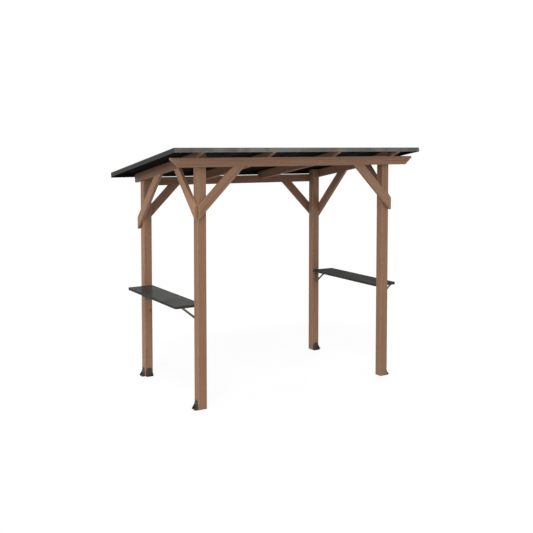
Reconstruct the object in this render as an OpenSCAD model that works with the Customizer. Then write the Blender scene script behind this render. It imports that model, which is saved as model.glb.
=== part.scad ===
// Garden gazebo with four posts, a single-slope sheet-steel roof and two steel side shelves.
// Millimetres. Plan centre of the posts on the ground at the origin, +Z up, the high front edge on -Y.

/* [Posts] */
// side of the square posts
post_size = 88; // [70:1:110]
// distance between the post centres from left to right
bay_w = 2106; // [1900:1:2400]
// distance between the post centres from front to back
bay_d = 1254; // [1150:1:1400]
// width of the flat that eases the posts' long edges
post_ease = 4; // [1:0.5:8]

/* [Beams and braces] */
// thickness of every board
board_t = 35; // [28:1:45]
// depth of the front and back beams
beam_h = 86; // [75:1:110]
// height of the front beam's underside above the ground
front_beam_z = 2207; // [2100:1:2350]
// length by which the front beam runs past the posts at each end
beam_end = 276; // [200:1:320]
// height of the plumb nose at the front beam's ends
beam_nose = 16; // [8:1:40]
// length of the slanted cut under the front beam's ends
beam_cut = 80; // [40:1:90]
// distance from the posts' outer faces to the back beam's ends
back_beam_gap = 24; // [0:1:40]
// depth of the brace boards
brace_h = 86; // [60:1:100]
// angle of the braces to the horizontal
brace_angle = 45; // [40:1:50]
// drop from the front beam's underside to the tips of the braces on the front posts
front_brace_drop = 465; // [380:1:500]
// drop from the back beam's underside to the tips of the braces on the back posts
back_brace_drop = 445; // [380:1:500]

/* [Rafters] */
// fall of the roof from the front to the back
roof_angle = 9.46; // [7:0.01:12]
// depth of the rafters
rafter_h = 86; // [80:1:110]
// distance between the centres of the two inner rafters
inner_rafter_gap = 742; // [600:1:850]
// depth of the seat notch over the front beam
front_seat = 40; // [25:1:50]
// depth of the seat notch over the back beam
back_seat = 46; // [25:1:50]
// length of the rafters in front of the front beam
front_tail = 100; // [85:1:140]
// length of the rafters behind the back beam
back_tail = 38; // [25:1:90]
// square nose left at the tip of the front tails
tail_nose = 26; // [15:1:40]

/* [Roof] */
// length by which the roof runs past the posts' outer faces on the left and right
side_over = 289; // [260:1:340]
// height of the front and side trim below the rafters' tops
trim_drop = 20; // [10:1:30]
// height of the back trim below the rafters' tops
back_trim_drop = 29; // [20:1:36]
// thickness of the edge trim
trim_t = 3; // [2:0.5:4]
// depth of the slot in the edge trim that holds the roof panels
trim_slot = 22; // [15:1:30]
// width of the seam rails on the rafters
rail_w = 46; // [40:1:60]
// height of the seam rails under the roof panels
rail_h = 16; // [10:1:20]
// thickness of the web of the seam rails between two panels
rail_web = 6; // [4:1:10]
// width of the strip that covers the edges of two panels
rail_cover = 50; // [30:1:60]
// thickness of the folded roof panels
panel_t = 3; // [2:0.5:4]
// play of the panels in the rails and in the trim
panel_clear = 0.5; // [0.3:0.1:1]
// width of the stiffening beads pressed in the panels
bead_w = 44; // [30:1:60]
// height of the stiffening beads
bead_h = 6; // [4:1:10]
// distance from the ends of the beads to the edge trim's slot
bead_end = 60; // [40:1:120]
// beads in each of the three wide panels
wide_beads = 3; // [1:1:4]

/* [Shelves] */
// height of the shelf tops above the ground
shelf_z = 954; // [850:1:1050]
// width of the shelves from the posts' inner faces outwards
shelf_w = 270; // [240:1:290]
// depth of the folded lip round the shelves
shelf_lip = 25; // [20:1:40]
// thickness of the shelf sheet
shelf_t = 3; // [2:0.5:4]
// radius of the shelves' outer corners
shelf_corner = 18; // [8:1:30]
// thickness of the shelf brackets
bracket_t = 4; // [3:0.5:6]
// height of the shelf brackets
bracket_h = 150; // [120:1:180]
// length of the shelf brackets' top leg
bracket_len = 180; // [150:1:195]
// width of the brackets' legs and strut
bracket_bar = 20; // [16:1:24]

/* [Anchors] */
// height of the anchors' upright plate
anchor_h = 84; // [80:1:110]
// width of the anchors at the foot
anchor_w = 76; // [60:1:86]
// width of the anchors at the top of the upright
anchor_top_w = 46; // [30:1:56]
// length of the anchors' foot plate
anchor_foot = 30; // [28:1:50]
// height of the anchors' side cheeks
anchor_cheek = 44; // [20:1:55]
// thickness of the anchor plate
anchor_t = 4; // [3:0.5:6]
// distance from the post to the middle of the hole in the foot plate
anchor_bolt_x = 18; // [15:0.5:20]
// diameter of the hole in the foot plate
anchor_bolt_d = 10; // [8:0.5:12]
// height of the lower hole in the upright
anchor_screw_z = 40; // [30:1:45]
// distance between the two holes in the upright
anchor_screw_gap = 28; // [15:1:32]
// diameter of the holes in the upright
anchor_screw_d = 8; // [5:0.5:10]

/* [Hidden] */
$fn = 32;
px = bay_w / 2;
py = bay_d / 2;
face_x = px + post_size / 2;
face_y = py + post_size / 2;
gap_y = py - post_size / 2;
beam_out = face_y + board_t;
beam_mid = face_y + board_t / 2;
front_beam_top = front_beam_z + beam_h;
// height of the rafters' top plane over the middle of the plan
plane_z = front_beam_top - front_seat + rafter_h / cos(roof_angle) - beam_mid * tan(roof_angle);
back_beam_top = under_z(beam_mid) + back_seat;
back_beam_z = back_beam_top - beam_h;
rafter_x = face_x + board_t / 2;
inner_x = inner_rafter_gap / 2;
rafter_front = beam_out / cos(roof_angle) + front_tail;
rafter_back = beam_out / cos(roof_angle) + back_tail;
roof_front = rafter_front + trim_t;
roof_back = rafter_back + trim_t;
roof_x = face_x + side_over;
slot_h = panel_t + panel_clear;
trim_top = rail_h + slot_h + trim_t;
brace_v = brace_h / cos(brace_angle);
rail_gap = rail_web / 2 + panel_clear;
panel_edge = roof_x - trim_t - panel_clear;
WOOD = "#8c6e58";
ROOF = "#54544f";
STEEL = "#3c3b38";

// height of the rafters' top plane at a place from front to back
function top_z(y) = plane_z - y * tan(roof_angle);

// height of the rafters' underside at a place from front to back
function under_z(y) = top_z(y) - rafter_h / cos(roof_angle);

// place in the side view of a point along the roof slope and above the rafters' tops
function on_slope(s, n) = [
    s * cos(roof_angle) + n * sin(roof_angle),
    plane_z - s * sin(roof_angle) + n * cos(roof_angle)
];

// moves a shape drawn in the roof's own plane on to the rafters' tops
module sloped() {
    translate([0, 0, plane_z])
        rotate([-roof_angle, 0, 0])
            children();
}

// extrudes a side view of y and z across a width that starts at x
module side_view(x, width) {
    translate([x, 0, 0])
        rotate([90, 0, 90])
            linear_extrude(width)
                children();
}

// extrudes a front view of x and z backwards from y
module front_view(y, depth) {
    translate([0, y + depth, 0])
        rotate([90, 0, 0])
            linear_extrude(depth)
                children();
}

// post on the given side, cut to the roof slope at its top
module post(sx, sy) {
    color(WOOD)
        difference() {
            translate([sx * px, sy * py, 0])
                linear_extrude(top_z(sy * py - post_size))
                    intersection() {
                        square(post_size, center = true);
                        rotate(45)
                            square(sqrt(2) * post_size - 2 * post_ease, center = true);
                    }
            sloped()
                translate([sx * px - post_size, -roof_front, 0])
                    cube([2 * post_size, roof_front + roof_back, post_size]);
        }
}

// angled plate with its upright on the plane x = 0, its foot towards +x and a folded cheek on each side
module anchor_plate() {
    color(STEEL)
        difference() {
            union() {
                side_view(0, anchor_t)
                    polygon([
                        [-anchor_w / 2, 0], [anchor_w / 2, 0],
                        [anchor_w / 2, anchor_cheek], [anchor_top_w / 2, anchor_h],
                        [-anchor_top_w / 2, anchor_h], [-anchor_w / 2, anchor_cheek]
                    ]);
                translate([0, -anchor_w / 2, 0])
                    cube([anchor_foot, anchor_w, anchor_t]);
                for (y = [-anchor_w / 2, anchor_w / 2 - anchor_t])
                    front_view(y, anchor_t)
                        polygon([
                            [0, 0], [anchor_foot, 0], [anchor_foot, anchor_t],
                            [anchor_t, anchor_cheek], [0, anchor_cheek]
                        ]);
            }
            translate([anchor_bolt_x, 0, -anchor_t])
                cylinder(d = anchor_bolt_d, h = 3 * anchor_t);
            for (z = [anchor_screw_z, anchor_screw_z + anchor_screw_gap])
                translate([-anchor_t, 0, z])
                    rotate([0, 90, 0])
                        cylinder(d = anchor_screw_d, h = 3 * anchor_t);
        }
}

// anchor on the outer side face of a post
module outer_anchor(sx, sy) {
    translate([sx * face_x, sy * py, 0])
        rotate([0, 0, sx > 0 ? 0 : 180])
            anchor_plate();
}

// anchor on the front face of a back post
module inner_anchor(sx) {
    translate([sx * px, gap_y, 0])
        rotate([0, 0, -90])
            anchor_plate();
}

module front_beam() {
    tip = face_x + beam_end;
    color(WOOD)
        front_view(-beam_out, board_t)
            polygon([
                [-tip, front_beam_top], [tip, front_beam_top],
                [tip, front_beam_top - beam_nose], [tip - beam_cut, front_beam_z],
                [beam_cut - tip, front_beam_z], [-tip, front_beam_top - beam_nose]
            ]);
}

module back_beam() {
    color(WOOD)
        translate([back_beam_gap - face_x, face_y, back_beam_z])
            cube([2 * (face_x - back_beam_gap), board_t, beam_h]);
}

// rafter seated on the front beam with a tapered tail, and notched over the back beam where it crosses it
module rafter(x, back_notch) {
    color(WOOD)
        side_view(x - board_t / 2, board_t)
            difference() {
                polygon([
                    on_slope(-rafter_front, 0), on_slope(rafter_back, 0), on_slope(rafter_back, -rafter_h),
                    [-face_y, under_z(-face_y)], [-face_y, front_beam_top],
                    [-beam_out, front_beam_top], on_slope(-rafter_front, -tail_nose)
                ]);
                if (back_notch)
                    translate([face_y, 0])
                        square([board_t, back_beam_top]);
            }
}

// outline of a brace: plumb foot at u = 0, tip at height z, top cut at a line that climbs at the given rate
module brace_outline(z, top, climb) {
    rate = tan(brace_angle);
    high = (top - z - brace_v) / (rate - climb);
    low = (top - z) / (rate - climb);
    polygon([[0, z], [0, z + brace_v], [high, top + climb * high], [low, top + climb * low]]);
}

// brace in the plane of a beam, from the post's outer edge up to the beam
module beam_brace(sx, y, top, drop) {
    color(WOOD)
        front_view(y, board_t)
            translate([sx * face_x, 0])
                mirror([sx > 0 ? 1 : 0, 0])
                    brace_outline(top - drop, top, 0);
}

// brace in the plane of an outer rafter, from the post's far edge up to the rafter
module side_brace(sx, sy, z) {
    color(WOOD)
        side_view(sx > 0 ? face_x : -face_x - board_t, board_t)
            translate([sy * face_y, 0])
                mirror([sy > 0 ? 1 : 0, 0])
                    brace_outline(z, under_z(sy * face_y), sy * tan(roof_angle));
}

// plan of a shelf less an inset all round, square at the posts and rounded at the outer corners
module shelf_plan(sx, inset) {
    x0 = px - post_size / 2 + inset;
    x1 = px - post_size / 2 + shelf_w - shelf_corner;
    half = gap_y - bracket_t;
    mirror([sx > 0 ? 0 : 1, 0])
        union() {
            translate([x0, inset - half])
                square([x1 - x0, 2 * (half - inset)]);
            translate([x0, shelf_corner - half])
                square([x1 - x0 + shelf_corner - inset, 2 * (half - shelf_corner)]);
            for (s = [-1, 1])
                translate([x1, s * (half - shelf_corner)])
                    circle(shelf_corner - inset);
        }
}

module shelf(sx) {
    color(STEEL)
        difference() {
            translate([0, 0, shelf_z - shelf_lip])
                linear_extrude(shelf_lip)
                    shelf_plan(sx, 0);
            translate([0, 0, shelf_z - shelf_t - shelf_lip])
                linear_extrude(shelf_lip)
                    shelf_plan(sx, shelf_t);
        }
}

// flat three-sided bracket on the post's face beside the end of a shelf
module shelf_bracket(sx, sy) {
    x0 = px - bracket_bar / 2;
    x1 = x0 + bracket_bar;
    top = shelf_z - shelf_t;
    under = top - bracket_bar;
    foot = top - bracket_h;
    tip = x0 + bracket_len;
    rate = (under - foot) / (tip - x1);
    strut = bracket_bar * sqrt(1 + rate * rate);
    color(STEEL)
        front_view(sy > 0 ? gap_y - bracket_t : -gap_y, bracket_t)
            mirror([sx > 0 ? 0 : 1, 0])
                difference() {
                    polygon([[x0, foot], [x1, foot], [tip, under], [tip, top], [x0, top]]);
                    polygon([[x1, foot + strut], [x1, under], [x1 + (under - foot - strut) / rate, under]]);
                }
}

// flat panel between two places from left to right, with beads pressed up along the slope
module roof_panel(x0, x1, beads) {
    s0 = panel_clear - rafter_front;
    s1 = rafter_back - panel_clear;
    inset = trim_slot + bead_end;
    step = (x1 - x0 - 2 * trim_slot) / beads;
    places = [for (i = [0 : beads - 1]) x0 + trim_slot + (i + 0.5) * step];
    color(ROOF)
        sloped()
            translate([0, 0, rail_h])
                difference() {
                    union() {
                        translate([x0, s0, 0])
                            cube([x1 - x0, s1 - s0, panel_t]);
                        for (x = places)
                            translate([x, 0, panel_t])
                                bead(s0 + inset, s1 - inset);
                    }
                    for (x = places)
                        translate([x, 0, 0])
                            bead(s0 + inset, s1 - inset);
                }
}

// long low bead with slanted sides and ends, sunk by a panel's thickness below its own base
module bead(s0, s1) {
    low = bead_w / 2 + panel_t;
    high = bead_w / 2 - bead_h;
    intersection() {
        front_view(s0 - bead_h, s1 - s0 + 2 * bead_h)
            polygon([[-low, -panel_t], [low, -panel_t], [high, bead_h], [-high, bead_h]]);
        side_view(-bead_w, 2 * bead_w)
            polygon([
                [s0 - panel_t, -panel_t], [s1 + panel_t, -panel_t],
                [s1 - bead_h, bead_h], [s0 + bead_h, bead_h]
            ]);
    }
}

// seam rail on a rafter, between the front and back trims
module seam_rail(x) {
    color(ROOF)
        sloped()
            translate([x, 0, 0])
                front_view(trim_slot - rafter_front, rafter_front + rafter_back - 2 * trim_slot)
                    rail_section();
}

// section of a seam rail with its hollow foot on the rafter
module rail_section() {
    difference() {
        translate([-rail_w / 2, 0])
            square([rail_w, rail_h]);
        translate([trim_t - rail_w / 2, trim_t])
            square([rail_w - 2 * trim_t, rail_h - 2 * trim_t]);
    }
    translate([-rail_web / 2, rail_h - trim_t])
        square([rail_web, slot_h + 2 * trim_t]);
    translate([-rail_cover / 2, rail_h + slot_h])
        square([rail_cover, trim_t]);
}

// edge trim with its web on the plane u = 0, hanging down by the drop, and its slot opening towards +u
module trim_section(drop) {
    translate([0, -drop])
        square([trim_t, drop + trim_top]);
    translate([0, rail_h - trim_t])
        square([trim_t + trim_slot, trim_t]);
    translate([0, trim_top - trim_t])
        square([trim_t + trim_slot, trim_t]);
}

// front or back trim over the whole width of the roof
module cross_trim(s, flip, drop) {
    color(ROOF)
        sloped()
            translate([-roof_x, s, 0])
                rotate([90, 0, 90])
                    linear_extrude(2 * roof_x)
                        mirror([flip, 0])
                            trim_section(drop);
}

// side trim between the front and back trims, its two ledges stopped at theirs
module end_trim(sx) {
    color(ROOF)
        sloped()
            translate([sx * roof_x, 0, 0])
                mirror([sx > 0 ? 1 : 0, 0, 0])
                    difference() {
                        front_view(-rafter_front, rafter_front + rafter_back)
                            trim_section(trim_drop);
                        for (s = [-rafter_front - trim_slot, rafter_back - trim_slot])
                            translate([trim_t, s, 0])
                                cube([2 * trim_slot, 2 * trim_slot, 2 * trim_top]);
                    }
}

post(-1, -1);  // front_left_post
post(1, -1);  // front_right_post
post(-1, 1);  // back_left_post
post(1, 1);  // back_right_post
outer_anchor(-1, -1);  // front_left_outer_anchor
outer_anchor(1, -1);  // front_right_outer_anchor
outer_anchor(-1, 1);  // back_left_outer_anchor
outer_anchor(1, 1);  // back_right_outer_anchor
inner_anchor(-1);  // back_left_inner_anchor
inner_anchor(1);  // back_right_inner_anchor
front_beam();
back_beam();
rafter(-rafter_x, false);  // left_rafter
rafter(-inner_x, true);  // inner_left_rafter
rafter(inner_x, true);  // inner_right_rafter
rafter(rafter_x, false);  // right_rafter
beam_brace(-1, -beam_out, front_beam_z, front_brace_drop);  // front_left_brace
beam_brace(1, -beam_out, front_beam_z, front_brace_drop);  // front_right_brace
beam_brace(-1, face_y, back_beam_z, back_brace_drop);  // back_left_brace
beam_brace(1, face_y, back_beam_z, back_brace_drop);  // back_right_brace
side_brace(-1, -1, front_beam_z - front_brace_drop);  // left_front_side_brace
side_brace(1, -1, front_beam_z - front_brace_drop);  // right_front_side_brace
side_brace(-1, 1, back_beam_z - back_brace_drop);  // left_back_side_brace
side_brace(1, 1, back_beam_z - back_brace_drop);  // right_back_side_brace
shelf(-1);  // left_shelf
shelf(1);  // right_shelf
shelf_bracket(-1, -1);  // front_left_shelf_bracket
shelf_bracket(1, -1);  // front_right_shelf_bracket
shelf_bracket(-1, 1);  // back_left_shelf_bracket
shelf_bracket(1, 1);  // back_right_shelf_bracket
roof_panel(-panel_edge, -rafter_x - rail_gap, 1);  // left_end_panel
roof_panel(-rafter_x + rail_gap, -inner_x - rail_gap, wide_beads);  // left_panel
roof_panel(-inner_x + rail_gap, inner_x - rail_gap, wide_beads);  // middle_panel
roof_panel(inner_x + rail_gap, rafter_x - rail_gap, wide_beads);  // right_panel
roof_panel(rafter_x + rail_gap, panel_edge, 1);  // right_end_panel
seam_rail(-rafter_x);  // left_seam_rail
seam_rail(-inner_x);  // inner_left_seam_rail
seam_rail(inner_x);  // inner_right_seam_rail
seam_rail(rafter_x);  // right_seam_rail
cross_trim(-roof_front, 0, trim_drop);  // front_trim
cross_trim(roof_back, 1, back_trim_drop);  // back_trim
end_trim(-1);  // left_trim
end_trim(1);  // right_trim
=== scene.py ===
"""Dresses the garden gazebo: cedar frame, folded steel roof, two steel shelves, six post anchors.

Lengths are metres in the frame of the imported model: +Z up, the high front edge of the roof on -Y.
"""

from __future__ import annotations

import logging
import math
from collections.abc import Iterable, Sequence
from dataclasses import dataclass, replace
from enum import Enum

import bmesh
import bpy
from mathutils import Matrix, Vector


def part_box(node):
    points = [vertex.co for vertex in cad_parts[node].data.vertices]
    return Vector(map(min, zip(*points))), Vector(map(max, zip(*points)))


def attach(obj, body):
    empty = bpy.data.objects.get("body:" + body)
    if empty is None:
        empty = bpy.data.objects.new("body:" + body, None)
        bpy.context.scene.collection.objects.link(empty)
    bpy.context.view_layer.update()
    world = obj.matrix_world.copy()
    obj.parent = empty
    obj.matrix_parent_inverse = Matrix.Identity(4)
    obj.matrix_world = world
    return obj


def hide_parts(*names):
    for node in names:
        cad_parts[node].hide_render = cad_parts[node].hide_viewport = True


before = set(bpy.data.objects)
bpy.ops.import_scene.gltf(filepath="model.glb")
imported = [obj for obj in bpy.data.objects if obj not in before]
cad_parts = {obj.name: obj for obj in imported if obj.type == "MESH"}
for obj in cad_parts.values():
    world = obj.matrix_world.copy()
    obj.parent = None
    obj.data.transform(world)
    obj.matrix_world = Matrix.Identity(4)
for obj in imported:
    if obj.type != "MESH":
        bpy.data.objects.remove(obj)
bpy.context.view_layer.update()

LOG = logging.getLogger("gazebo")
BODY = "root"
SHARP_ANGLE = math.radians(25.0)
FLAT_ANGLE = math.radians(0.4)
MERGE_GAP = 1e-5
SHADING_WEIGHT = 60
GOLDEN_TURN = 2.399
ROOF_FALL = math.radians(9.46)
BRACE_RISE = math.radians(45.0)
UP = Vector((0.0, 0.0, 1.0))
RIGHT = Vector((1.0, 0.0, 0.0))
BACK = Vector((0.0, 1.0, 0.0))
ROOF_DOWN = Vector((0.0, math.cos(ROOF_FALL), -math.sin(ROOF_FALL)))
ROOF_OUT = Vector((0.0, math.sin(ROOF_FALL), math.cos(ROOF_FALL)))
# How far a face must look away from the sky to take the roof's darker underside coat, which is
# painted shade.
UNDERSIDE_SHADE_LIMIT = -0.5
END_GRAIN_LIMIT = 0.6
RAFTER_PLACES = ("left", "inner_left", "inner_right", "right")
WHITE = (1.0, 1.0, 1.0, 1.0)

Colour = tuple[int, int, int]
Pair = tuple[float, float]
Scale = tuple[float, float, float]
Socket = bpy.types.NodeSocket


class Slot(Enum):
    """The record's material slots."""

    CEDAR = "cedar"
    ROOF = "roof_steel"
    SHELF = "shelf_steel"
    ANCHOR = "anchor_steel"


class Drive(Enum):
    """How a screw's head is turned."""

    STAR = "star socket in a flush head"
    HEX = "hexagon over a flange"


class Way(Enum):
    """A direction that has a word in the names of pieces and a sign along its axis."""

    def __str__(self) -> str:
        """The word."""
        return self.name.lower()


class Side(Way):
    """The short sides of the gazebo, with their sign along X."""

    LEFT = -1
    RIGHT = 1

    def out(self) -> Vector:
        """The direction in which the side faces."""
        return Vector((self.value, 0, 0))


class End(Way):
    """The long sides of the gazebo, with their sign along Y."""

    FRONT = -1
    BACK = 1

    def out(self) -> Vector:
        """The direction in which the end faces."""
        return Vector((0, self.value, 0))

    def opposite(self) -> End:
        """The end across the bay."""
        return End(-self.value)


def linear(colour: Colour) -> tuple[float, float, float, float]:
    """Turns a colour of 0 to 255 into the linear values that a shader takes.

    Args:
        colour: red, green and blue as they look on a screen.

    Returns:
        The three linear values and a full fourth one.
    """
    shares = [c / 255.0 for c in colour]
    red, green, blue = (
        s / 12.92 if s <= 0.04045 else ((s + 0.055) / 1.055) ** 2.4 for s in shares
    )
    return red, green, blue, 1.0


class Graph:
    """Adds and links the nodes of one shader tree."""

    def __init__(self, tree: bpy.types.NodeTree) -> None:
        """Starts an empty tree."""
        self.tree = tree
        tree.nodes.clear()

    def feed(self, socket: Socket, value: object) -> None:
        """Links a socket to another, or sets it to a constant.

        Args:
            socket: the input to feed.
            value: the other socket or the constant.
        """
        if isinstance(value, Socket):
            self.tree.links.new(value, socket)
        else:
            socket.default_value = value

    def add(
        self, kind: str, settings: dict[str, object] | None = None, **inputs: object
    ) -> bpy.types.Node:
        """Adds a node.

        Args:
            kind: the node's type without its prefix.
            settings: the node's own options.
            inputs: values or sockets for its inputs, with _ for a space in a name.

        Returns:
            The node.
        """
        node = self.tree.nodes.new("ShaderNode" + kind)
        for key, value in (settings or {}).items():
            setattr(node, key, value)
        for key, value in inputs.items():
            self.feed(node.inputs[key.replace("_", " ")], value)
        return node

    def math(
        self, operation: str, first: object, second: object = 0.0, kind: str = "Math"
    ) -> Socket:
        """Works out one operation on two values.

        Args:
            operation: the operation's name.
            first: the first value or socket.
            second: the second value or socket.
            kind: the node's type, for numbers or for vectors.

        Returns:
            The result.
        """
        node = self.add(kind, {"operation": operation})
        self.feed(node.inputs[0], first)
        self.feed(node.inputs[1], second)
        return node.outputs[0]

    def times(self, first: object, second: object) -> Socket:
        """The product of two values."""
        return self.math("MULTIPLY", first, second)

    def plus(self, first: object, second: object) -> Socket:
        """The sum of two values."""
        return self.math("ADD", first, second)

    def weighed(self, first: object, second: object, shares: Pair) -> Socket:
        """The sum of a share of each of two values."""
        return self.plus(self.times(first, shares[0]), self.times(second, shares[1]))

    def moved(self, first: object, second: object) -> Socket:
        """The sum of two vectors."""
        return self.math("ADD", first, second, "VectorMath")

    def remap(
        self, value: object, low: float, high: float, start: float = 0.0, end: float = 1.0
    ) -> Socket:
        """Stretches a value from one range to another.

        Args:
            value: the socket to stretch.
            low: its value at the start.
            high: its value at the end.
            start: the result at the start.
            end: the result at the end.

        Returns:
            The result, held inside its range.
        """
        node = self.add(
            "MapRange", {"interpolation_type": "SMOOTHSTEP"},
            Value=value, From_Min=low, From_Max=high, To_Min=start, To_Max=end,
        )
        return node.outputs["Result"]

    def mix(self, share: object, first: object, second: object) -> Socket:
        """A blend of two colours.

        Args:
            share: how much of the second shows.
            first: the colour below.
            second: the colour above.

        Returns:
            The blended colour.
        """
        node = self.add("Mix", {"data_type": "RGBA"})
        # The sockets for colours come after those for numbers and vectors.
        for number, value in ((0, share), (6, first), (7, second)):
            self.feed(node.inputs[number], value)
        return node.outputs[2]

    def ramp(self, value: object, stops: Sequence[tuple[float, Colour]]) -> Socket:
        """Turns a value into a colour.

        Args:
            value: the socket to read.
            stops: places from 0 to 1 with their colours.

        Returns:
            The colour.
        """
        node = self.add("ValToRGB", None, Fac=value)
        elements = node.color_ramp.elements
        while len(elements) < len(stops):
            elements.new(0.5)
        for element, (place, colour) in zip(elements, stops):
            element.position = place
            element.color = linear(colour)
        return node.outputs["Color"]

    def stretch(self, vector: object, scale: Scale) -> Socket:
        """Scales a pattern's own directions one by one."""
        return self.add("Mapping", None, Vector=vector, Scale=scale).outputs["Vector"]

    def noise(self, vector: object, scale: object, detail: float) -> Socket:
        """A cloudy value from 0 to 1 at a number of clouds per metre."""
        return self.add("TexNoise", None, Vector=vector, Scale=scale, Detail=detail).outputs["Fac"]

    def drawn_noise(self, vector: object, scale: Scale, detail: float) -> Socket:
        """A cloudy value with its own number of clouds per metre in each direction."""
        return self.noise(self.stretch(vector, scale), 1.0, detail)

    def attribute(self, name: str, output: str) -> Socket:
        """Reads what a piece's own mesh holds under a name."""
        return self.add("Attribute", {"attribute_name": name}).outputs[output]

    def place(self) -> Socket:
        """The place of a point in the model."""
        return self.add("TexCoord").outputs["Object"]


class Effect:
    """A shader node group that several finishes share."""

    def __init__(
        self, name: str, inputs: Iterable[tuple[str, float]], outputs: Iterable[str]
    ) -> None:
        """Makes the group with its sockets.

        Args:
            name: the group's name.
            inputs: names and usual values of the numbers it takes.
            outputs: names of the values it gives.
        """
        self.tree = bpy.data.node_groups.new(name, "ShaderNodeTree")
        self.graph = Graph(self.tree)
        sockets, number = self.tree.interface, "NodeSocketFloat"
        for label, value in inputs:
            socket = sockets.new_socket(label, in_out="INPUT", socket_type=number)
            socket.default_value = value
        for label in outputs:
            sockets.new_socket(label, in_out="OUTPUT", socket_type=number)
        self.inlet = self.tree.nodes.new("NodeGroupInput").outputs
        self.outlet = self.tree.nodes.new("NodeGroupOutput").inputs

    def put(self, graph: Graph, **inputs: object) -> bpy.types.NodeOutputs:
        """Places the effect in a finish with its own values, and returns what it gives."""
        return graph.add("Group", {"node_tree": self.tree}, **inputs).outputs


class Dust(Effect):
    """Dust that lies on what faces up, in drifts that rain may draw out along Y."""

    UPWARD: Pair = (0.35, 0.98)
    DRIFT: Pair = (0.3, 0.72)
    GRAINS = 320.0
    GRAIN: Pair = (0.2, 0.7)
    GRAIN_SHARE: Pair = (0.5, 1.0)

    def __init__(self) -> None:
        """Builds the group."""
        super().__init__("dust", [("Amount", 0.5), ("Scale", 6.0), ("Run", 1.0)], ["Mask"])
        g = self.graph
        normal = g.add("SeparateXYZ", None, Vector=g.add("NewGeometry").outputs["Normal"])
        upward = g.remap(normal.outputs["Z"], *self.UPWARD)
        spot = g.add("SeparateXYZ", None, Vector=g.place()).outputs
        along = g.times(spot["Y"], self.inlet["Run"])
        drawn = g.add("CombineXYZ", None, X=spot["X"], Y=along, Z=spot["Z"]).outputs["Vector"]
        drift = g.remap(g.noise(drawn, self.inlet["Scale"], 4.0), *self.DRIFT)
        grain = g.remap(g.noise(g.place(), self.GRAINS, 2.0), *self.GRAIN, *self.GRAIN_SHARE)
        mask = g.times(g.times(upward, drift), grain)
        g.feed(self.outlet["Mask"], g.times(mask, self.inlet["Amount"]))


class EdgeWear(Effect):
    """Rubbing along the eased edges, broken up along their length."""

    PATCH: Pair = (0.42, 0.64)

    def __init__(self) -> None:
        """Builds the group."""
        super().__init__("edge_wear", [("Amount", 0.5), ("Scale", 30.0)], ["Mask"])
        g = self.graph
        patches = g.remap(g.noise(g.place(), self.inlet["Scale"], 4.0), *self.PATCH)
        mask = g.times(g.attribute("edge", "Fac"), patches)
        g.feed(self.outlet["Mask"], g.times(mask, self.inlet["Amount"]))


class CoatTexture(Effect):
    """The fine sandy relief of a baked coat, with its low waves and its speckle."""

    SHARES: Pair = (0.6, 0.4)
    SPECKLE: Pair = (0.35, 0.68)

    def __init__(self) -> None:
        """Builds the group."""
        super().__init__("coat_texture", [("Grain", 700.0), ("Waves", 45.0)], ["Height", "Speckle"])
        g = self.graph
        sand = g.noise(g.place(), self.inlet["Grain"], 3.0)
        waves = g.noise(g.place(), self.inlet["Waves"], 2.0)
        g.feed(self.outlet["Height"], g.weighed(sand, waves, self.SHARES))
        g.feed(self.outlet["Speckle"], g.remap(sand, *self.SPECKLE))


class Effects:
    """The shared effects, built once."""

    def __init__(self) -> None:
        """Builds the node groups."""
        self.dust = Dust()
        self.wear = EdgeWear()
        self.coat = CoatTexture()


def new_material(name: str) -> tuple[bpy.types.Material, Graph, bpy.types.NodeInputs]:
    """Starts a finish with its shader.

    Args:
        name: the finish's name.

    Returns:
        The material, its tree and the shader's inputs.
    """
    material = bpy.data.materials.new(name)
    material.use_nodes = True
    graph = Graph(material.node_tree)
    shader = graph.add("BsdfPrincipled")
    graph.feed(graph.add("OutputMaterial").inputs["Surface"], shader.outputs["BSDF"])
    return material, graph, shader.inputs


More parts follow.
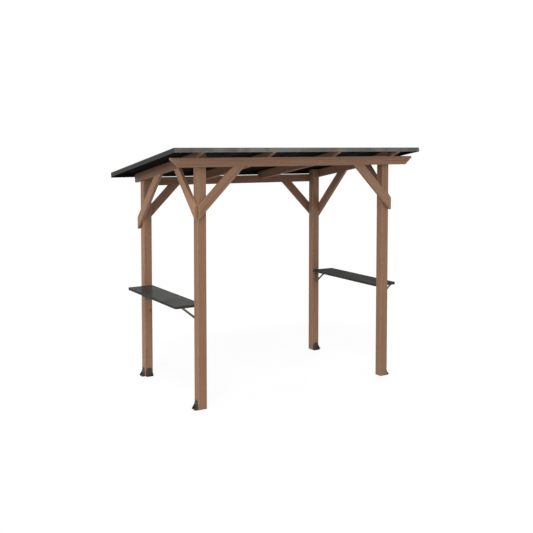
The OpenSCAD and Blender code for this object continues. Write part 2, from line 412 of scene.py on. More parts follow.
@dataclass(frozen=True)
class CedarFinish:
    """Brown stained cedar, its grain along each board.

    A pattern's scale is its number of repeats per metre along, across and through the board,
    and a range is where its value starts and ends to show.
    """

    name: str = "stained_cedar"
    red: Colour = (158, 115, 93)
    middle: Colour = (150, 115, 92)
    olive: Colour = (147, 117, 90)
    late_wood: Colour = (112, 80, 60)
    streak: Colour = (98, 70, 52)
    knot: Colour = (74, 50, 36)
    end_grain: Colour = (132, 100, 77)
    rubbed: Colour = (178, 145, 121)
    late_share: float = 0.42
    streak_share: float = 0.4
    fibre_share: float = 0.3
    end_share: float = 0.2
    knot_share: float = 0.62
    check_share: float = 0.7
    wear_amount: float = 0.5
    wear_scale: float = 24.0
    band_scale: Scale = (0.55, 27.0, 27.0)
    band_stops: tuple[float, float, float] = (0.3, 0.5, 0.68)
    streak_scale: Scale = (1.3, 120.0, 120.0)
    streak_range: Pair = (0.5, 0.72)
    fibre_scale: Scale = (7.0, 520.0, 520.0)
    fibre_range: Pair = (0.52, 0.75)
    knot_scale: Scale = (5.6, 9.0, 9.0)
    knot_choice: Pair = (0.84, 0.88)
    knot_swirl: Pair = (0.32, 0.02)
    knot_heart: Pair = (0.13, 0.085)
    knot_push: Pair = (0.011, 0.007)
    rim_scale: Scale = (40.0, 70.0, 70.0)
    rim_range: Pair = (0.2, 0.8)
    rim_push: Pair = (-0.04, 0.04)
    ring_scale: float = 58.0
    ring_length: Scale = (0.06, 1.0, 1.0)
    ring_range: Pair = (0.35, 1.0)
    ring_wobble: float = 1.6
    drift_scale: Scale = (0.8, 6.0, 6.0)
    drift_push: float = 0.02
    check_scale: Scale = (1.1, 48.0, 48.0)
    check_range: Pair = (0.006, 0.0)
    patch_scale: Scale = (3.0, 16.0, 16.0)
    patch_range: Pair = (0.56, 0.64)
    rough_shares: Pair = (0.35, 0.65)
    rough_range: Pair = (0.2, 0.8)
    roughness: Pair = (0.56, 0.74)
    sheen: float = 0.2
    raised_shares: Pair = (0.3, 0.5)
    sunk_share: float = 0.2
    relief: float = 0.45
    relief_depth: float = 0.0007

    def material(self, effects: Effects) -> bpy.types.Material:
        """Builds the material.

        Args:
            effects: the shared effects.

        Returns:
            The cedar material.
        """
        made, g, shader = new_material(self.name)
        board = g.attribute("board", "Vector")
        near = self.knots(g, board)
        heart = g.remap(near, *self.knot_heart)
        ring = self.rings(g, board, g.remap(near, *self.knot_swirl))
        streaks = g.remap(g.drawn_noise(board, self.streak_scale, 4.0), *self.streak_range)
        fibre = g.drawn_noise(board, self.fibre_scale, 3.0)
        check = self.checks(g, board)
        wear = effects.wear.put(g, Amount=self.wear_amount, Scale=self.wear_scale)

        bands = list(zip(self.band_stops, (self.red, self.middle, self.olive)))
        colour = g.ramp(g.drawn_noise(board, self.band_scale, 2.5), bands)
        for share, mark in (
            (g.times(ring, self.late_share), self.late_wood),
            (g.times(streaks, self.streak_share), self.streak),
            (g.remap(fibre, *self.fibre_range, 0.0, self.fibre_share), self.streak),
            (g.times(g.attribute("end", "Fac"), self.end_share), self.end_grain),
            (g.times(heart, self.knot_share), self.knot),
            (g.times(check, self.check_share), self.knot),
            (wear["Mask"], self.rubbed),
        ):
            colour = g.mix(share, colour, linear(mark))
        # The board's brightness factor scales its colour: partly its own tone, partly painted light
        # and shade.
        shade = g.add("HueSaturation", None, Color=colour, Value=g.attribute("tone", "Fac"))
        g.feed(shader["Base Color"], shade.outputs["Color"])

        rough = g.weighed(ring, fibre, self.rough_shares)
        g.feed(shader["Roughness"], g.remap(rough, *self.rough_range, *self.roughness))
        shader["Specular IOR Level"].default_value = self.sheen
        raised = g.weighed(ring, fibre, self.raised_shares)
        sunk = g.plus(g.times(streaks, self.sunk_share), check)
        height = g.math("SUBTRACT", raised, sunk)
        bump = g.add("Bump", None, Height=height, Strength=self.relief, Distance=self.relief_depth)
        g.feed(shader["Normal"], bump.outputs["Normal"])
        return made

    def knots(self, g: Graph, board: Socket) -> Socket:
        """A few small knots with uneven rims.

        Args:
            g: the finish's tree.
            board: the place in the board.

        Returns:
            The distance from the nearest knot's middle, over 1 where there is none.
        """
        cells = g.add("TexVoronoi", None, Vector=g.stretch(board, self.knot_scale), Scale=1.0)
        pick = g.add("SeparateColor", None, Color=cells.outputs["Color"]).outputs["Red"]
        near = g.plus(cells.outputs["Distance"], g.remap(pick, *self.knot_choice, 1.0, 0.0))
        uneven = g.drawn_noise(board, self.rim_scale, 2.0)
        return g.plus(near, g.remap(uneven, *self.rim_range, *self.rim_push))

    def rings(self, g: Graph, board: Socket, swirl: Socket) -> Socket:
        """Growth rings about the board's own heart, bent round its knots.

        Args:
            g: the finish's tree.
            board: the place in the board.
            swirl: how near a knot is.

        Returns:
            A value from 0 in early wood to 1 in late wood.
        """
        spread = g.stretch(board, self.drift_scale)
        drift = g.add("TexNoise", None, Vector=spread, Scale=1.0, Detail=2.0).outputs["Color"]
        bend = g.add("VectorMath", {"operation": "SCALE"}, Vector=drift, Scale=self.drift_push)
        across, through = (g.times(swirl, push) for push in self.knot_push)
        push = g.add("CombineXYZ", None, Y=across, Z=through)
        bent = g.moved(g.stretch(board, self.ring_length), bend.outputs["Vector"])
        wave = g.add(
            "TexWave", {"wave_type": "RINGS", "rings_direction": "X", "wave_profile": "SAW"},
            Vector=g.moved(bent, push.outputs["Vector"]), Scale=self.ring_scale,
            Distortion=self.ring_wobble, Detail=2.0,
        )
        return g.remap(wave.outputs["Fac"], *self.ring_range)

    def checks(self, g: Graph, board: Socket) -> Socket:
        """Fine drying cracks along the grain, in patches.

        Args:
            g: the finish's tree.
            board: the place in the board.

        Returns:
            A value of 1 in a crack.
        """
        line = g.math("SUBTRACT", g.drawn_noise(board, self.check_scale, 1.0), 0.5)
        crack = g.remap(g.math("ABSOLUTE", line), *self.check_range)
        patch = g.remap(g.drawn_noise(board, self.patch_scale, 1.0), *self.patch_range)
        return g.times(crack, patch)


@dataclass(frozen=True)
class CoatedSteel:
    """Sheet steel under a baked coat.

    Run is how far rain draws the clouds and the dust out along Y: the smaller, the longer.
    """

    name: str
    colour: Colour
    shade: Colour
    bare: Colour
    dust: Colour
    dust_amount: float
    wear_amount: float
    grain: float
    roughness: Pair
    relief: float
    sheen: float
    rough_shares: Pair = (0.5, 0.5)
    run: float = 1.0
    dust_scale: float = 5.0
    flake: float = 0.0
    rim: float = 1.0
    waves: float = 38.0
    wear_scale: float = 42.0
    cloud_scale: float = 7.0
    cloud_range: Pair = (0.34, 0.68)
    speckle_share: float = 0.22
    bare_metal: float = 0.75
    dust_dulling: float = 0.35
    relief_depth: float = 0.0004

    def material(self, effects: Effects) -> bpy.types.Material:
        """Builds the material.

        Args:
            effects: the shared effects.

        Returns:
            The coated steel.
        """
        made, g, shader = new_material(self.name)
        coat = effects.coat.put(g, Grain=self.grain, Waves=self.waves)
        speckle = coat["Speckle"]
        drifts = effects.dust.put(g, Amount=self.dust_amount, Scale=self.dust_scale, Run=self.run)
        dust = drifts["Mask"]
        worn = effects.wear.put(g, Amount=self.wear_amount, Scale=self.wear_scale)["Mask"]
        cloud = g.noise(g.stretch(g.place(), (1.0, self.run, 1.0)), self.cloud_scale, 5.0)
        fade = g.remap(cloud, *self.cloud_range)

        colour = g.mix(fade, linear(self.colour), linear(self.shade))
        colour = g.mix(g.times(speckle, self.speckle_share), colour, linear(self.shade))
        colour = g.mix(dust, colour, linear(self.dust))
        g.feed(shader["Base Color"], g.mix(worn, colour, linear(self.bare)))
        metal = g.math("MAXIMUM", g.times(worn, self.bare_metal), self.flake)
        g.feed(shader["Metallic"], metal)
        rough = g.remap(g.weighed(fade, speckle, self.rough_shares), 0.0, 1.0, *self.roughness)
        g.feed(shader["Roughness"], g.plus(rough, g.times(dust, self.dust_dulling)))
        shader["Specular IOR Level"].default_value = self.sheen
        shader["Specular Tint"].default_value = (self.rim, self.rim, self.rim, 1.0)
        bump = g.add(
            "Bump", None, Height=coat["Height"], Strength=self.relief, Distance=self.relief_depth
        )
        g.feed(shader["Normal"], bump.outputs["Normal"])
        return made


@dataclass(frozen=True)
class ScrewFinish:
    """Coated screw steel with rubbed heads."""

    name: str
    colour: Colour
    shade: Colour
    bright: Colour
    stain_scale: float = 180.0
    stain_range: Pair = (0.35, 0.66)
    wear_amount: float = 0.85
    wear_scale: float = 240.0
    roughness: Pair = (0.34, 0.56)
    metal: float = 0.8
    grain: float = 900.0
    relief: float = 0.2
    relief_depth: float = 0.0002

    def material(self, effects: Effects) -> bpy.types.Material:
        """Builds the material.

        Args:
            effects: the shared effects.

        Returns:
            The screw steel.
        """
        made, g, shader = new_material(self.name)
        stain = g.remap(g.noise(g.place(), self.stain_scale, 4.0), *self.stain_range)
        worn = effects.wear.put(g, Amount=self.wear_amount, Scale=self.wear_scale)["Mask"]
        colour = g.mix(stain, linear(self.colour), linear(self.shade))
        g.feed(shader["Base Color"], g.mix(worn, colour, linear(self.bright)))
        g.feed(shader["Roughness"], g.remap(stain, 0.0, 1.0, *self.roughness))
        shader["Metallic"].default_value = self.metal
        grain = g.noise(g.place(), self.grain, 2.0)
        bump = g.add("Bump", None, Height=grain, Strength=self.relief, Distance=self.relief_depth)
        g.feed(shader["Normal"], bump.outputs["Normal"])
        return made


CEDAR = CedarFinish()
ROOF_COAT = CoatedSteel(
    name="charcoal_roof_coat", colour=(65, 65, 62), shade=(60, 60, 58), bare=(142, 143, 140),
    dust=(112, 108, 99), dust_amount=0.07, wear_amount=0.45, grain=640.0, roughness=(0.3, 0.4),
    relief=0.18, sheen=0.3, run=0.06, dust_scale=22.0, flake=0.92, rim=0.6,
)
# The roof's underside coat is a darker, rougher copy of the roof coat that paints the shade under
# the roof.
ROOF_UNDERSIDE_PAINTED_SHADE = CoatedSteel(
    name="black_roof_backing", colour=(34, 31, 26), shade=(24, 22, 19), bare=(92, 91, 88),
    dust=(80, 76, 68), dust_amount=0.0, wear_amount=0.3, grain=640.0, roughness=(0.78, 0.92),
    relief=0.2, sheen=0.016, run=0.12,
)
SHELF_COAT = CoatedSteel(
    name="graphite_shelf_coat", colour=(65, 65, 62), shade=(55, 55, 53), bare=(134, 132, 126),
    dust=(104, 101, 94), dust_amount=0.12, wear_amount=0.4, grain=820.0, roughness=(0.2, 0.28),
    relief=0.12, sheen=0.0048,
)
# The right shelf takes a copy of the same coat with almost no sheen, so its top renders darker.
# This is a painted dimmer reflection, not a duller coat.
SHELF_COAT_PAINTED_DIM_REFLECTION = replace(SHELF_COAT, name="dull_graphite_shelf_coat", sheen=0.0006)
BRACKET_COAT = CoatedSteel(
    name="bronze_bracket_coat", colour=(102, 92, 72), shade=(88, 79, 61), bare=(134, 124, 104),
    dust=(108, 100, 86), dust_amount=0.2, wear_amount=0.4, grain=860.0, roughness=(0.44, 0.6),
    relief=0.3, sheen=0.3,
)
ANCHOR_COAT = CoatedSteel(
    name="black_anchor_coat", colour=(60, 57, 49), shade=(46, 43, 37), bare=(118, 110, 96),
    dust=(104, 95, 82), dust_amount=0.4, wear_amount=0.5, grain=900.0, roughness=(0.44, 0.6),
    relief=0.35, sheen=0.3,
)
TIMBER_SCREW = ScrewFinish(
    name="bronze_timber_screw", colour=(104, 80, 60), shade=(82, 62, 46), bright=(150, 126, 100)
)
STEEL_SCREW = ScrewFinish(
    name="dark_plate_screw", colour=(66, 65, 61), shade=(48, 47, 43), bright=(142, 140, 132)
)


class Workshop:
    """Turns a finished bmesh into a piece of the gazebo."""

    def __init__(self) -> None:
        """Builds every finish once."""
        effects = Effects()
        finishes = (
            CEDAR, ROOF_COAT, ROOF_UNDERSIDE_PAINTED_SHADE, SHELF_COAT, SHELF_COAT_PAINTED_DIM_REFLECTION, BRACKET_COAT,
            ANCHOR_COAT, TIMBER_SCREW, STEEL_SCREW,
        )
        self.materials = {f.name: f.material(effects) for f in finishes}

    @staticmethod
    def merged_copy(node: str) -> bmesh.types.BMesh:
        """A copy of a solid with its triangles merged into flat faces.

        Args:
            node: the solid's name.

        Returns:
            The merged mesh.
        """
        mesh = bmesh.new()
        mesh.from_mesh(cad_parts[node].data)
        bmesh.ops.remove_doubles(mesh, verts=mesh.verts[:], dist=MERGE_GAP)
        bmesh.ops.dissolve_limit(
            mesh, angle_limit=FLAT_ANGLE, verts=mesh.verts[:], edges=mesh.edges[:]
        )
        return mesh

    @staticmethod
    def bevel(mesh: bmesh.types.BMesh, edges: Sequence[bmesh.types.BMEdge], width: float) -> None:
        """Rounds some edges and marks the rounding as edge.

        Args:
            mesh: the mesh, with its edge layer.
            edges: the edges to round.
            width: how far the rounding reaches from an edge.
        """
        layer = mesh.faces.layers.float["edge"]
        made = bmesh.ops.bevel(
            mesh, geom=edges, offset=width, offset_type="OFFSET", affect="EDGES", segments=2,
            profile=0.5, material=-1, clamp_overlap=True,
        )
        for face in made["faces"]:
            face[layer] = 1.0

    @classmethod
    def ease_edges(cls, mesh: bmesh.types.BMesh, width: float) -> None:
        """Rounds every sharp edge and splits many-sided faces.

        Args:
            mesh: the mesh to ease.
            width: how far the rounding reaches from the edge.
        """
        mesh.faces.layers.float.new("edge")
        sharp = [e for e in mesh.edges if e.is_manifold and e.calc_face_angle(0.0) > SHARP_ANGLE]
        cls.bevel(mesh, sharp, width)
        many_sided = [face for face in mesh.faces if len(face.verts) > 4]
        bmesh.ops.triangulate(
            mesh, faces=many_sided, quad_method="BEAUTY", ngon_method="BEAUTY"
        )

    def finish(
        self, name: str, mesh: bmesh.types.BMesh, coats: Sequence[str], slot: Slot,
        stands_for: Sequence[str] = (),
    ) -> bpy.types.Object:
        """Makes the piece, dresses it and lets it ride.

        Args:
            name: the piece's name.
            mesh: its finished mesh, in place.
            coats: the names of its finishes, in the order that its faces number them.
            slot: the record's slot that the finish belongs to; not used.
            stands_for: solids that the piece replaces.

        Returns:
            The piece.
        """
        data = bpy.data.meshes.new(name)
        for face in mesh.faces:
            face.smooth = True
        mesh.to_mesh(data)
        mesh.free()
        piece = bpy.data.objects.new(name, data)
        bpy.context.scene.collection.objects.link(piece)
        for coat in coats:
            data.materials.append(self.materials[coat])
        soft = piece.modifiers.new("even_shading", "WEIGHTED_NORMAL")
        soft.mode = "FACE_AREA"
        soft.weight = SHADING_WEIGHT
        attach(piece, BODY)
        if stands_for:
            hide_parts(*stands_for)
        LOG.info("%s: %d faces", name, len(data.polygons))
        return piece


@dataclass
class Board:
    """One length of cedar, with the direction of its grain."""

    node: str
    along: Vector
    through: Vector
    number: int
    ease: float
    tone: float
    heart_step: float = 1.73
    heart_swing: float = 0.024
    heart_depth: float = 0.052
    heart_sway: float = 0.022
    sway_rate: float = 1.7

    def heart(self) -> Vector:
        """The place of the tree's heart against the board's middle.

        Returns:
            How far it lies along, across and through the board.
        """
        turn = self.number * GOLDEN_TURN
        across = self.heart_swing * math.sin(turn)
        through = self.heart_depth + self.heart_sway * math.cos(self.sway_rate * turn)
        return Vector((self.heart_step * self.number, across, through))

    def build(self, shop: Workshop) -> bpy.types.Object:
        """Makes the board from its solid, with the grain's own directions in its mesh.

        Args:
            shop: the workshop.

        Returns:
            The dressed board.
        """
        mesh = shop.merged_copy(self.node)
        shop.ease_edges(mesh, self.ease)
        low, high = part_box(self.node)
        middle = (low + high) / 2
        turned = Matrix((self.along, self.through.cross(self.along), self.through))
        shift = self.heart()
        grain = mesh.verts.layers.float_vector.new("board")
        for vert in mesh.verts:
            vert[grain] = turned @ (vert.co - middle) + shift
        # Each face carries the board's brightness factor, partly its own tone and partly painted
        # light and shade.
        tone = mesh.faces.layers.float.new("tone")
        end = mesh.faces.layers.float.new("end")
        for face in mesh.faces:
            face[tone] = self.tone
            face[end] = float(abs(face.normal.dot(self.along)) > END_GRAIN_LIMIT)
        return shop.finish(f"{self.node}_cedar", mesh, [CEDAR.name], Slot.CEDAR, [self.node])


@dataclass(frozen=True)
class Screws:
    """A set of screw heads in one piece; tapers, rims and sockets are shares of a width."""

    name: str
    finish: ScrewFinish
    slot: Slot
    drive: Drive
    head: float
    height: float
    flange: float = 0.0
    flange_height: float = 0.0015
    round_sides: int = 14
    hex_sides: int = 6
    flange_taper: float = 0.9
    head_taper: float = 0.92
    head_rim: float = 0.1
    socket_rim: float = 0.26
    socket_lean: float = 0.02
    socket_depth: float = 0.16

    def add_head(self, mesh: bmesh.types.BMesh, seat: Matrix) -> None:
        """Adds one head at a seat.

        Args:
            mesh: the mesh that takes the head.
            seat: the place of the seat, with the head towards its own +Z.
        """
        if self.drive is Drive.HEX:
            widths = (self.flange, self.flange * self.flange_taper)
            self.add_slug(mesh, seat, widths, (0.0, self.flange_height), self.round_sides)
            span = (self.flange_height, self.flange_height + self.height)
            top = self.add_slug(mesh, seat, (self.head, self.head), span, self.hex_sides)
            Workshop.bevel(mesh, top.edges[:], self.head * self.head_rim)
        else:
            widths, span = (self.head, self.head * self.head_taper), (-self.height, self.height)
            self.sink_socket(mesh, self.add_slug(mesh, seat, widths, span, self.round_sides))

    @staticmethod
    def add_slug(
        mesh: bmesh.types.BMesh, seat: Matrix, widths: Pair, span: Pair, sides: int
    ) -> bmesh.types.BMFace:
        """Adds a short round or hexagonal slug.

        Args:
            mesh: the mesh that takes it.
            seat: the place of the screw's seat.
            widths: width across at the foot and at the top.
            span: height of the foot and of the top above the seat.
            sides: how many sides it has.

        Returns:
            The slug's top face.
        """
        foot, top = span
        made = bmesh.ops.create_cone(
            mesh, cap_ends=True, cap_tris=False, segments=sides, depth=top - foot,
            radius1=widths[0] / 2, radius2=widths[1] / 2,
            matrix=seat @ Matrix.Translation((0.0, 0.0, (foot + top) / 2)),
        )
        up = seat.to_3x3() @ UP
        faces = {face for vert in made["verts"] for face in vert.link_faces}
        return max(faces, key=lambda face: face.calc_center_median().dot(up))

    def sink_socket(self, mesh: bmesh.types.BMesh, top: bmesh.types.BMFace) -> None:
        """Sinks a socket into the middle of a flush head.

        Args:
            mesh: the mesh that holds the head.
            top: the head's top face.
        """
        bmesh.ops.inset_region(
            mesh, faces=[top], thickness=self.head * self.socket_rim, depth=0.0
        )
        bmesh.ops.inset_region(
            mesh, faces=[top], thickness=self.head * self.socket_lean,
            depth=-self.head * self.socket_depth,
        )

    def build(self, shop: Workshop, seats: Iterable[Matrix]) -> bpy.types.Object:
        """Makes the set.

        Args:
            shop: the workshop.
            seats: the places of the heads.

        Returns:
            The piece that holds them all.
        """
        mesh = bmesh.new()
        mesh.faces.layers.float.new("edge")
        for seat in seats:
            self.add_head(mesh, seat)
        return shop.finish(self.name, mesh, [self.finish.name], self.slot)


def seat_at(place: Vector, out: Vector, turn: float) -> Matrix:
    """The seat of a screw head at a place, with the way it points and its turn about that."""
    facing = out.to_track_quat("Z", "Y").to_matrix().to_4x4()
    return Matrix.Translation(place) @ facing @ Matrix.Rotation(turn, 4, "Z")


def level_axis(out: Vector) -> int:
    """The number of the level axis along an upright face: 0 for X, 1 for Y."""
    return 0 if abs(out.y) > abs(out.x) else 1


def face_place(node: str, out: Vector) -> float:
    """The place of a solid's face on X or Y.

    Args:
        node: the solid.
        out: the direction in which the face looks.

    Returns:
        The face's value on the axis that it looks along.
    """
    low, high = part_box(node)
    axis = 1 - level_axis(out)
    return high[axis] if out[axis] > 0 else low[axis]


# Each board's brightness factor. Part of it is the board's own tone and part is painted light and
# shade. The left rafter is darkened as painted shade under the eave, the two left side braces are
# lightened as painted light where the roof shades them, and the front beam and front right post are
# darkened as painted shade.
BOARD_TONES_AND_PAINTED_LIGHT = {
    "front_left_post": 0.985, "front_right_post": 0.925, "back_left_post": 1.07,
    "front_beam": 0.975, "back_beam": 0.94,
    "left_rafter": 0.77, "inner_left_rafter": 0.97, "right_rafter": 1.06,
    "front_left_brace": 0.98, "back_right_brace": 0.92,
    "left_front_side_brace": 1.26, "left_back_side_brace": 1.21, "right_back_side_brace": 0.96,
}


@dataclass
class CedarFrame:
    """Posts, beams, rafters and braces, with the screws that hold them.

    The marks for a brace's screws are shares of its reach from the foot and of its height.
    """

    post_ease: float = 0.0016
    board_ease: float = 0.003
    screws: Screws = Screws(
        "frame_screws", TIMBER_SCREW, Slot.ANCHOR, Drive.STAR, head=0.0095, height=0.0006
    )
    screw_spread: float = 0.018
    rafter_depth: float = 0.087
    brace_marks: tuple[Pair, ...] = ((0.08, 0.13), (0.12, 0.24), (0.82, 0.86), (0.9, 0.93))
    brace_turn: float = 9.0
    post_turn: float = 0.6

    def boards(self) -> list[Board]:
        """Every length of cedar with its grain direction.

        Returns:
            The boards, numbered from 1.
        """
        rise, run = math.sin(BRACE_RISE), math.cos(BRACE_RISE)
        lengths = [(f"{end}_{side}_post", UP, BACK) for end in End for side in Side]
        lengths += [(f"{end}_beam", RIGHT, BACK) for end in End]
        lengths += [(f"{place}_rafter", ROOF_DOWN, RIGHT) for place in RAFTER_PLACES]
        for end in End:
            for side in Side:
                inward = Vector((-side.value * run, 0, rise))
                lengths.append((f"{end}_{side}_brace", inward, BACK))
                inward = Vector((0, -end.value * run, rise))
                lengths.append((f"{side}_{end}_side_brace", inward, RIGHT))
        boards = []
        for number, (node, along, through) in enumerate(lengths, start=1):
            ease = self.post_ease if node.endswith("post") else self.board_ease
            # The brightness factor mixes the board's own tone with painted light and shade.
            tone = BOARD_TONES_AND_PAINTED_LIGHT.get(node, 1.0)
            boards.append(Board(node, along, through, number, ease, tone))
        return boards

    def brace_seats(self, node: str, out: Vector) -> list[Matrix]:
        """Two screws at each end of a brace, one above the other.

        Args:
            node: the brace.
            out: the face that takes the screws.

        Returns:
            The seats.
        """
        low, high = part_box(node)
        axis = level_axis(out)
        foot_at_low = "left" in node if axis == 0 else "front" in node
        seats = []
        for share, lift in self.brace_marks:
            reach = share if foot_at_low else 1.0 - share
            place = Vector((0.0, 0.0, low.z + lift * (high.z - low.z)))
            place[axis] = low[axis] + reach * (high[axis] - low[axis])
            place[1 - axis] = face_place(node, out)
            seats.append(seat_at(place, out, share * self.brace_turn))
        return seats

    def post_seats(self, post: str, board: str, out: Vector) -> list[Matrix]:
        """Two screws through a beam or an outer rafter into a post.

        Args:
            post: the post.
            board: the beam or rafter on the post's face.
            out: the face of the board that takes the screws.

        Returns:
            The seats.
        """
        low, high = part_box(post)
        board_low, board_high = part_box(board)
        axis = level_axis(out)
        middle = (low + high) / 2
        if axis == 0:
            middle.z = (board_low.z + board_high.z) / 2
        else:
            fall = (high.y - low.y) / 2 * math.tan(ROOF_FALL)
            middle.z = high.z - fall - self.rafter_depth / 2
        middle[1 - axis] = face_place(board, out)
        seats = []
        for step in (-1, 1):
            place = middle.copy()
            place[axis] += step * self.screw_spread
            place.z += step * self.screw_spread
            seats.append(seat_at(place, out, step * self.post_turn))
        return seats

    def build(self, shop: Workshop) -> None:
        """Makes the boards and their screws.

        Args:
            shop: the workshop.
        """
        for board in self.boards():
            board.build(shop)
        seats: list[Matrix] = []
        for side in Side:
            for end in End:
                post = f"{end}_{side}_post"
                seats += self.brace_seats(f"{end}_{side}_brace", end.out())
                seats += self.brace_seats(f"{side}_{end}_side_brace", side.out())
                seats += self.post_seats(post, f"{end}_beam", end.out())
                seats += self.post_seats(post, f"{side}_rafter", side.out())
        self.screws.build(shop, seats)


@dataclass
class SteelPart:
    """One folded steel part, made from its solid with its edges eased."""

    node: str
    coat: str
    slot: Slot
    ease: float
    # The darker coat, painted shade, for faces that look away from the sky.
    backing: str = ""

    def build(self, shop: Workshop) -> bpy.types.Object:
        """Makes the part, with a darker coat painted as shade on what faces away from the sky.

        Args:
            shop: the workshop.

        Returns:
            The dressed part.
        """
        mesh = shop.merged_copy(self.node)
        shop.ease_edges(mesh, self.ease)
        coats = [self.coat]
        # Faces that look away from the sky take the darker coat, which is painted shade.
        if self.backing:
            coats.append(self.backing)
            for face in mesh.faces:
                face.material_index = int(face.normal.dot(ROOF_OUT) < UNDERSIDE_SHADE_LIMIT)
        return shop.finish(f"{self.node}_steel", mesh, coats, self.slot, [self.node])


@dataclass
class SteelRoof:
    """Panels, seam rails and edge trim, with the screws on the seams."""

    ease: float = 0.0008
    panels: tuple[str, ...] = ("left_end", "left", "middle", "right", "right_end")
    screws_per_rail: int = 5
    screw_margin: float = 0.09
    screws: Screws = Screws(
        "roof_screws", STEEL_SCREW, Slot.ROOF, Drive.HEX,
        head=0.0092, height=0.0048, flange=0.0155,
    )
    screw_turn: float = 0.7

    def build(self, shop: Workshop) -> None:
        """Makes the roof's parts and the screws on its seams.

        Args:
            shop: the workshop.
        """
        rails = [f"{place}_seam_rail" for place in RAFTER_PLACES]
        panels = [f"{place}_panel" for place in self.panels]
        for node in panels + rails + [f"{edge}_trim" for edge in (*End, *Side)]:
            SteelPart(node, ROOF_COAT.name, Slot.ROOF, self.ease, ROOF_UNDERSIDE_PAINTED_SHADE.name).build(shop)
        self.screws.build(shop, [seat for rail in rails for seat in self.rail_seats(rail)])

    def rail_seats(self, node: str) -> list[Matrix]:
        """Screws down the middle of a seam's cover strip.

        Args:
            node: the seam rail.

        Returns:
            The seats.
        """
        low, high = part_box(node)
        start = Vector(((low.x + high.x) / 2, low.y, high.z)) + ROOF_DOWN * self.screw_margin
        reach = (high.y - low.y) / math.cos(ROOF_FALL) - 2 * self.screw_margin
        step = reach / (self.screws_per_rail - 1)
        return [
            seat_at(start + ROOF_DOWN * (i * step), ROOF_OUT, i * self.screw_turn)
            for i in range(self.screws_per_rail)
        ]


@dataclass
class SideShelves:
    """Two folded shelves on flat brackets, with the screws into the posts."""

    ease: float = 0.0012
    bracket_ease: float = 0.0006
    leg_middle: float = 0.01
    leg_width: float = 0.02
    screw_heights: Pair = (0.036, 0.1)
    screws: Screws = Screws(
        "shelf_screws", STEEL_SCREW, Slot.SHELF, Drive.HEX,
        head=0.0075, height=0.004, flange=0.0115,
    )
    screw_turn: float = 9.0

    def build(self, shop: Workshop) -> None:
        """Makes the shelves, their brackets and the screws into the posts.

        Args:
            shop: the workshop.
        """
        seats: list[Matrix] = []
        # The right shelf and its brackets' top legs take the low-sheen copy, a painted dimmer
        # reflection.
        for side, coat in ((Side.LEFT, SHELF_COAT), (Side.RIGHT, SHELF_COAT_PAINTED_DIM_REFLECTION)):
            SteelPart(f"{side}_shelf", coat.name, Slot.SHELF, self.ease).build(shop)
            for end in End:
                bracket = f"{end}_{side}_shelf_bracket"
                self.bracket(shop, bracket, coat)
                seats += self.leg_seats(bracket, side, end.opposite().out())
        self.screws.build(shop, seats)

    def bracket(self, shop: Workshop, node: str, shelf_coat: CoatedSteel) -> bpy.types.Object:
        """Makes a bracket, its top leg in the shelf's own coat.

        Args:
            shop: the workshop.
            node: the bracket.
            shelf_coat: the finish of the shelf that it carries.

        Returns:
            The dressed bracket.
        """
        mesh = shop.merged_copy(node)
        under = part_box(node)[1].z - self.leg_width
        bmesh.ops.bisect_plane(
            mesh, geom=mesh.verts[:] + mesh.edges[:] + mesh.faces[:], dist=MERGE_GAP,
            plane_co=UP * under, plane_no=UP,
        )
        shop.ease_edges(mesh, self.bracket_ease)
        for face in mesh.faces:
            face.material_index = int(face.calc_center_median().z > under)
        coats = [BRACKET_COAT.name, shelf_coat.name]
        return shop.finish(f"{node}_steel", mesh, coats, Slot.SHELF, [node])

    def leg_seats(self, node: str, side: Side, out: Vector) -> list[Matrix]:
        """The screws in a bracket's upright leg.

        Args:
            node: the bracket.
            side: the side of the gazebo that it is on.
            out: the direction in which its screws face.

        Returns:
            The seats.
        """
        low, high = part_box(node)
        x = low.x + self.leg_middle if side is Side.RIGHT else high.x - self.leg_middle
        y = face_place(node, out)
        return [
            seat_at(Vector((x, y, low.z + height)), out, self.screw_turn * height)
            for height in self.screw_heights
        ]


@dataclass
class PostAnchors:
    """Angled plates that hold the posts' feet, with the screws in their uprights."""

    ease: float = 0.0009
    plate: float = 0.004
    screw_heights: Pair = (0.040, 0.068)
    screws: Screws = Screws(
        "anchor_screws", STEEL_SCREW, Slot.ANCHOR, Drive.HEX,
        head=0.0085, height=0.0045, flange=0.0135,
    )
    first_turn: float = 0.4

    def build(self, shop: Workshop) -> None:
        """Makes the anchors and the screws in their uprights.

        Args:
            shop: the workshop.
        """
        seats: list[Matrix] = []
        for side in Side:
            for node, out in (
                (f"front_{side}_outer_anchor", side.out()),
                (f"back_{side}_outer_anchor", side.out()),
                (f"back_{side}_inner_anchor", End.FRONT.out()),
            ):
                SteelPart(node, ANCHOR_COAT.name, Slot.ANCHOR, self.ease).build(shop)
                seats += self.upright_seats(node, out)
        self.screws.build(shop, seats)

    def upright_seats(self, node: str, out: Vector) -> list[Matrix]:
        """The screws in an anchor's upright.

        Args:
            node: the anchor.
            out: the direction in which its upright faces.

        Returns:
            The seats.
        """
        low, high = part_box(node)
        axis = 1 - level_axis(out)
        place = (low + high) / 2
        place[axis] = face_place(node, -out) + out[axis] * self.plate
        seats = []
        for i, height in enumerate(self.screw_heights):
            place.z = height
            seats.append(seat_at(place, out, self.first_turn + i))
        return seats


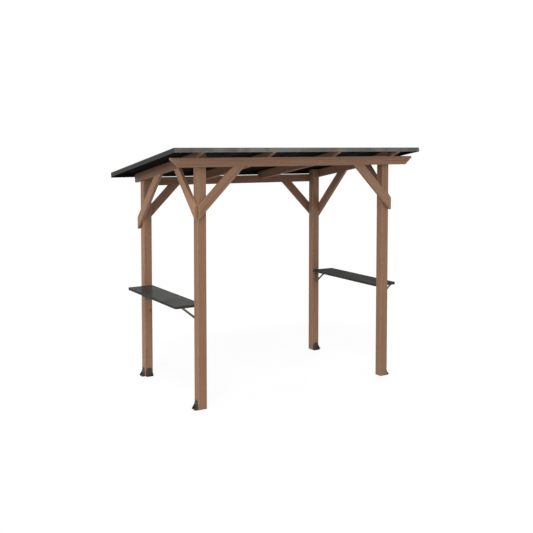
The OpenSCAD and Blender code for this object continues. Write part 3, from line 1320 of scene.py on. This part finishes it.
@dataclass(frozen=True)
class SoftLamp:
    """A wide distant lamp.

    Its heading turns from the front to the right, and its height from the floor to the zenith,
    both in degrees. A lamp without glare is left out of mirrored light.
    """

    name: str
    heading: float
    height: float
    level: float
    width: float
    glare: bool = True

    def hang(self) -> None:
        """Hangs the lamp."""
        data = bpy.data.lights.new(self.name, "SUN")
        data.energy = self.level * math.pi
        data.angle = math.radians(self.width)
        lamp = bpy.data.objects.new(self.name, data)
        lamp.visible_glossy = self.glare
        lamp.rotation_euler = (math.radians(90.0 - self.height), 0.0, math.radians(self.heading))
        bpy.context.scene.collection.objects.link(lamp)


LAMPS = (
    SoftLamp("key_lamp", heading=-38.0, height=52.0, level=0.34, width=24.0),
    SoftLamp("left_lamp", heading=-85.0, height=8.0, level=0.35, width=18.0, glare=False),
    SoftLamp("front_lamp", heading=-38.0, height=12.0, level=0.15, width=28.0),
    SoftLamp("sheen_lamp", heading=34.0, height=16.0, level=0.16, width=20.0),
    SoftLamp("back_lamp", heading=128.0, height=26.0, level=0.26, width=30.0),
)


@dataclass
class Studio:
    """Pale floor, soft lamps and the camera."""

    eye: tuple[float, float, float] = (-4.251, -7.1035, 2.3952)
    heading: float = 31.053
    dip: float = 3.269
    lens: float = 54.048
    sensor: float = 36.0
    shift: float = -0.14
    floor_size: float = 120.0
    floor_bounce: float = 0.5
    floor_glow: float = 0.86
    floor_white: float = 1.02
    ambient: float = 0.5

    def build(self) -> None:
        """Makes the camera, the light and the floor."""
        self.camera()
        self.world()
        self.floor()
        for lamp in LAMPS:
            lamp.hang()
        bpy.context.scene.view_settings.view_transform = "Standard"

    def camera(self) -> None:
        """Sets the camera where the picture was taken."""
        data = bpy.data.cameras.new("camera")
        data.sensor_width = self.sensor
        data.lens = self.lens
        data.shift_y = self.shift
        eye = bpy.data.objects.new("camera", data)
        eye.location = self.eye
        eye.rotation_euler = (math.radians(90.0 - self.dip), 0.0, math.radians(-self.heading))
        bpy.context.scene.collection.objects.link(eye)
        bpy.context.scene.camera = eye

    @staticmethod
    def seen(graph: Graph) -> Socket:
        """Tells what the camera, a mirror or glass looks at directly.

        Args:
            graph: the tree that asks.

        Returns:
            A value of 1 for what is looked at.
        """
        path = graph.add("LightPath").outputs
        seen = graph.math("MAXIMUM", path["Is Camera Ray"], path["Is Glossy Ray"])
        return graph.math("MAXIMUM", seen, path["Is Transmission Ray"])

    def world(self) -> None:
        """Lights the scene softly from all round, in front of white."""
        world = bpy.data.worlds.new("studio")
        bpy.context.scene.world = world
        world.use_nodes = True
        g = Graph(world.node_tree)
        level = g.add("MapRange", None, Value=self.seen(g), To_Min=self.ambient).outputs["Result"]
        light = g.add("Background", None, Color=WHITE, Strength=level)
        g.feed(g.add("OutputWorld").inputs["Surface"], light.outputs["Background"])

    def floor(self) -> None:
        """Lays a pale floor that keeps the shadow."""
        mesh = bmesh.new()
        bmesh.ops.create_grid(mesh, x_segments=1, y_segments=1, size=self.floor_size / 2)
        data = bpy.data.meshes.new("floor")
        mesh.to_mesh(data)
        mesh.free()
        floor = bpy.data.objects.new("floor", data)
        bpy.context.scene.collection.objects.link(floor)
        material = bpy.data.materials.new("pale_floor")
        material.use_nodes = True
        g = Graph(material.node_tree)
        seen = self.seen(g)
        dull = (self.floor_bounce, self.floor_bounce, self.floor_bounce, 1.0)
        matt = g.add("BsdfDiffuse", None, Color=g.mix(seen, dull, WHITE))
        glow = g.add("Emission", None, Color=WHITE, Strength=self.floor_white)
        both = g.add("MixShader", None, Fac=g.times(seen, self.floor_glow))
        g.feed(both.inputs[1], matt.outputs["BSDF"])
        g.feed(both.inputs[2], glow.outputs["Emission"])
        g.feed(g.add("OutputMaterial").inputs["Surface"], both.outputs["Shader"])
        data.materials.append(material)


def main() -> None:
    """Builds the gazebo and its studio."""
    logging.basicConfig(level=logging.INFO, format="%(name)s %(message)s")
    Studio().build()
    shop = Workshop()
    for assembly in (CedarFrame(), SteelRoof(), SideShelves(), PostAnchors()):
        assembly.build(shop)
        LOG.info("%s built", type(assembly).__name__)


if __name__ == "__main__":
    main()
